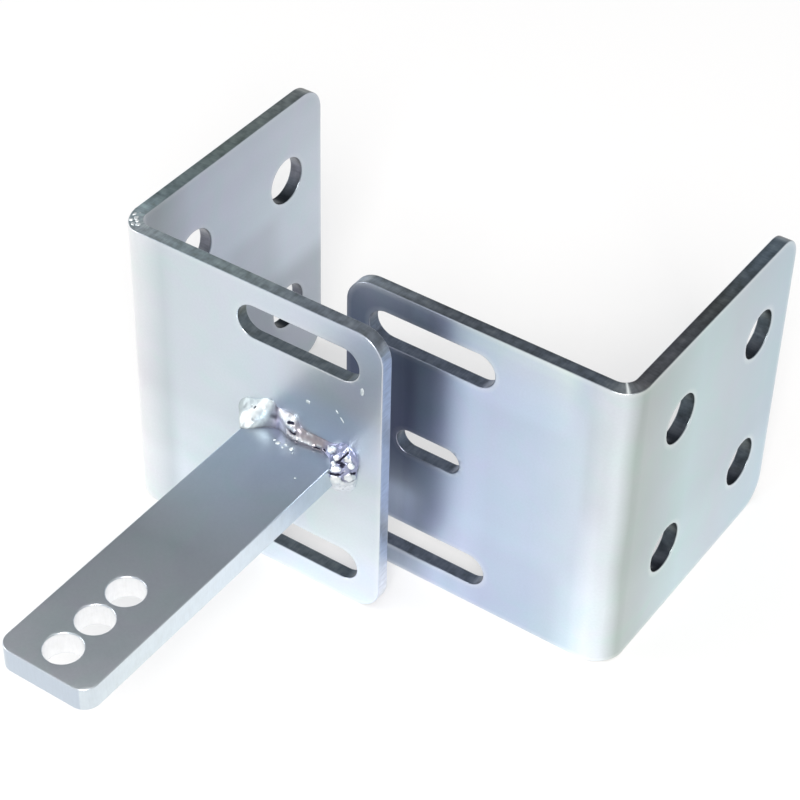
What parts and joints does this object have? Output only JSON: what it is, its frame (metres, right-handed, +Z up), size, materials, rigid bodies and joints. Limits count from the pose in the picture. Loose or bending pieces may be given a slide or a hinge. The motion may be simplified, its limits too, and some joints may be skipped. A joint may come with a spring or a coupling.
{
  "type": "wood post bracket",
  "caption": "Pair of folded steel plate halves that clasp a wood post, one carrying a welded flat arm with pin holes near its tip.",
  "frame": {"origin": "centre of the pair's box in X and Y, on the surface that both halves stand on", "axes": "+Z up, -Y the way the arm points, +Y the open side where the post goes in, +X from the arm half towards the plain half"},
  "size_m": [0.1966, 0.2754, 0.127],
  "materials": {
    "zinc_plated_steel": "bright zinc plating, satin",
    "plated_weld": "bright zinc plating over weld metal"
  },
  "bodies": {
    "root": {"arm_half_plate": "zinc_plated_steel", "plain_half_plate": "zinc_plated_steel", "arm_bar": "zinc_plated_steel", "arm_weld": "plated_weld"}
  },
  "joints": []
}
